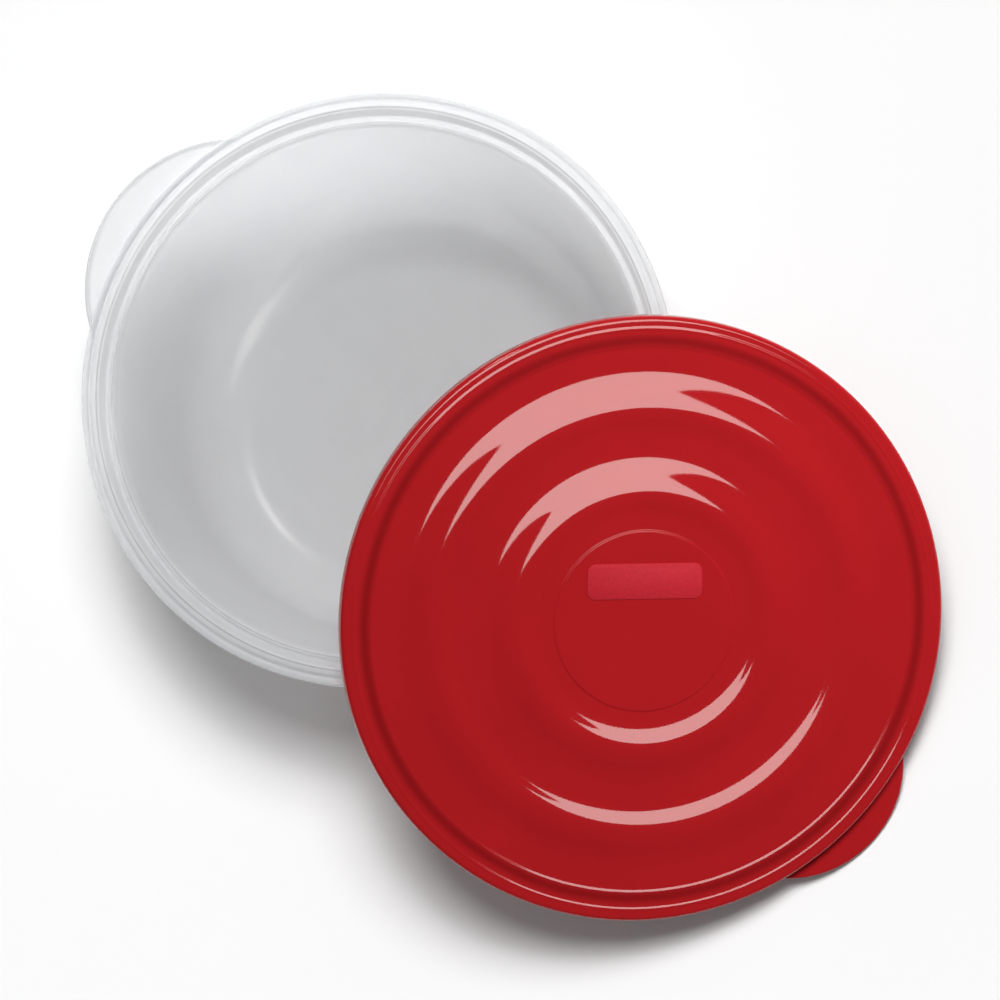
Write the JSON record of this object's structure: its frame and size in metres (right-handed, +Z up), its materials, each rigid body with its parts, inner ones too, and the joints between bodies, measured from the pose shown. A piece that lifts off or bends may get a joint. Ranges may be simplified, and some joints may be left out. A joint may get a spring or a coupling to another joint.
{
  "type": "serving bowl with lid",
  "caption": "Round translucent plastic serving bowl with a finger tab on its stepped rim, and a glossy press-on lid with round ridges and a pull tab, leaning on the rim.",
  "frame": {"origin": "middle of the bowl's flat underside, on the surface it stands on", "axes": "+Z up along the bowl's axis; -Z is the outward normal of the underside; the lid lies off the bowl towards +X and -Y"},
  "size_m": [0.4031, 0.3889, 0.1454],
  "materials": {
    "bowl_plastic": "natural milky polypropylene, translucent, satin moulded surface",
    "lid_plastic": "opaque red polypropylene, high gloss on top"
  },
  "bodies": {
    "bowl": {"bowl": "bowl_plastic"},
    "lid": {"lid": "lid_plastic"}
  },
  "joints": [
    {"name": "lid_lift", "type": "slide", "parent": "bowl", "child": "lid", "axis": [0, 0, 1], "range_m": [0, 0.15]}
  ]
}
